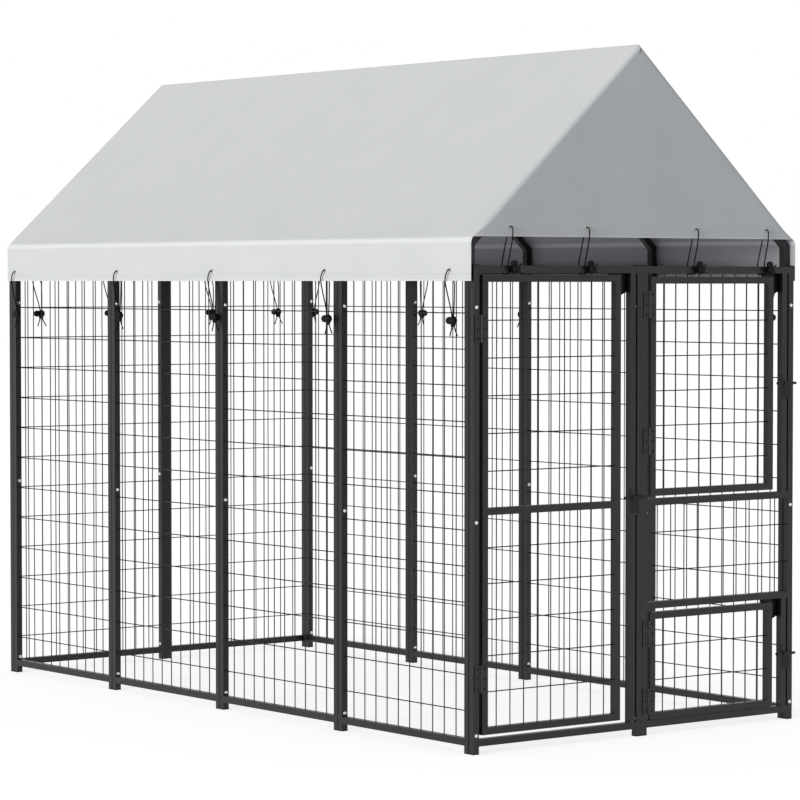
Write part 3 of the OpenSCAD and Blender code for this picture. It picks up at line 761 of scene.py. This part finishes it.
def screws(name, places, body):
    """One piece with a screw head at each place, each turned a little further."""
    head = screw_head()
    facing = Matrix.Rotation(math.pi / 2, 4, "X")
    parts = []
    for k, (x, z) in enumerate(places):
        spin = Matrix.Rotation(0.7 * k, 4, "Z")
        parts.append(moved(head, Matrix.Translation((x, LEAF_FACE, z)) @ facing @ spin))
    verts, faces = join(*parts)
    piece = bpy.data.objects.new(name, mesh_of(name, [place(*v) for v in verts], faces))
    finish_piece(piece, SCREW_COAT, body)


for door, (axis_x, heights) in HINGES.items():
    rows = [z + SCREW_STEP * k for z in heights for k in (-1, 0, 1)]
    screws(door + "_screws", [(axis_x + SCREW_OFF, z) for z in rows], door)
    screws(door + "_post_screws", [(axis_x - SCREW_OFF, z) for z in rows], "kennel")


# Finishes of the CAD nodes, by the start of their names; the first row that fits is taken
FINISHES = (
    (("left_mesh", "right_mesh", "rear_mesh", "hatch_mesh"), WIRE_COAT),
    (("walk_door_mesh", "upper_hatch_mesh", "lower_hatch_mesh"), WIRE_COAT),
    (("left_panel", "right_panel", "rear_panel", "walk_panel", "hatch_panel"), FRAME_COAT),
    (("walk_post", "upper_post", "lower_post"), DOOR_COAT),
    (("hinge_pins",), LATCH_COAT),
    (("walk_door", "upper_hatch", "lower_hatch"), DOOR_COAT),
    (("latch_plates", "walk_latch", "upper_latch", "lower_latch", "door_stops"), LATCH_COAT),
    (("frame_bolts", "frame_nuts"), ZINC),
    (("foot_caps", "top_caps"), CAP_PLASTIC),
    (("roof_truss", "roof_spigots", "ridge_tube", "ridge_brackets"), ROOF_COAT),
    (("cover_eyelets",), EYELET_METAL),
    (("roof_cover", "tie_cords"), CORD_BRAID),
    (("tie_locks",), LOCK_PLASTIC),
)
for name, node in nodes.items():
    look = next(look for starts, look in FINISHES if name.startswith(starts))
    node.data.materials.clear()
    node.data.materials.append(look)


# Floor and light: a white floor, a wide soft key from the left and an even sky
AMBIENT = 0.28
SKY_TINT = (0.94, 1.0, 1.055, 1.0)
FLOOR_HALF = 40
FLOOR_DROP = 0.0005
FLOOR_GLOW = 0.74
KEY = 2.74
KEY_SIZE = math.radians(28)
KEY_AZIMUTH = math.radians(12)
KEY_ELEVATION = math.radians(3.8)


def seen_directly(tree):
    """1 for rays that show the background itself, 0 for rays that only carry its light."""
    path = add(tree, "LightPath").outputs
    shown = math_node(tree, "MAXIMUM", path["Is Camera Ray"], path["Is Glossy Ray"])
    return math_node(tree, "MAXIMUM", shown, path["Is Transmission Ray"])


world = bpy.data.worlds.new("studio")
world.use_nodes = True
scene.world = world
sky = world.node_tree.nodes["Background"]
shown = seen_directly(world.node_tree)
feed(sky, "Strength", spread(world.node_tree, shown, 0.0, 1.0, AMBIENT, 1.0))
feed(sky, "Color", blend(world.node_tree, shown, SKY_TINT, grey(1.0)))

floor_corners = ((-1, -1), (1, -1), (1, 1), (-1, 1))
floor_verts = [(x * FLOOR_HALF, y * FLOOR_HALF, 0) for x, y in floor_corners]
floor_mesh = mesh_of("floor", floor_verts, [[0, 1, 2, 3]], smooth=False)
floor = bpy.data.objects.new("floor", floor_mesh)
floor.location.z = -FLOOR_DROP
scene.collection.objects.link(floor)
plain = {"Base_Color": grey(0.8), "Roughness": 0.9, "Specular_IOR_Level": 0.0}
pale, tree, shader = material("floor", Emission_Color=grey(1.0), **plain)
glow = math_node(tree, "MULTIPLY", seen_directly(tree), FLOOR_GLOW)
feed(shader, "Emission Strength", glow)
floor_mesh.materials.append(pale)

key = bpy.data.objects.new("key", bpy.data.lights.new("key", "SUN"))
key.data.energy = KEY
key.data.angle = KEY_SIZE
towards = Vector((-math.cos(KEY_AZIMUTH), -math.sin(KEY_AZIMUTH), math.tan(KEY_ELEVATION)))
key.rotation_euler = towards.to_track_quat("Z", "Y").to_euler()
scene.collection.objects.link(key)
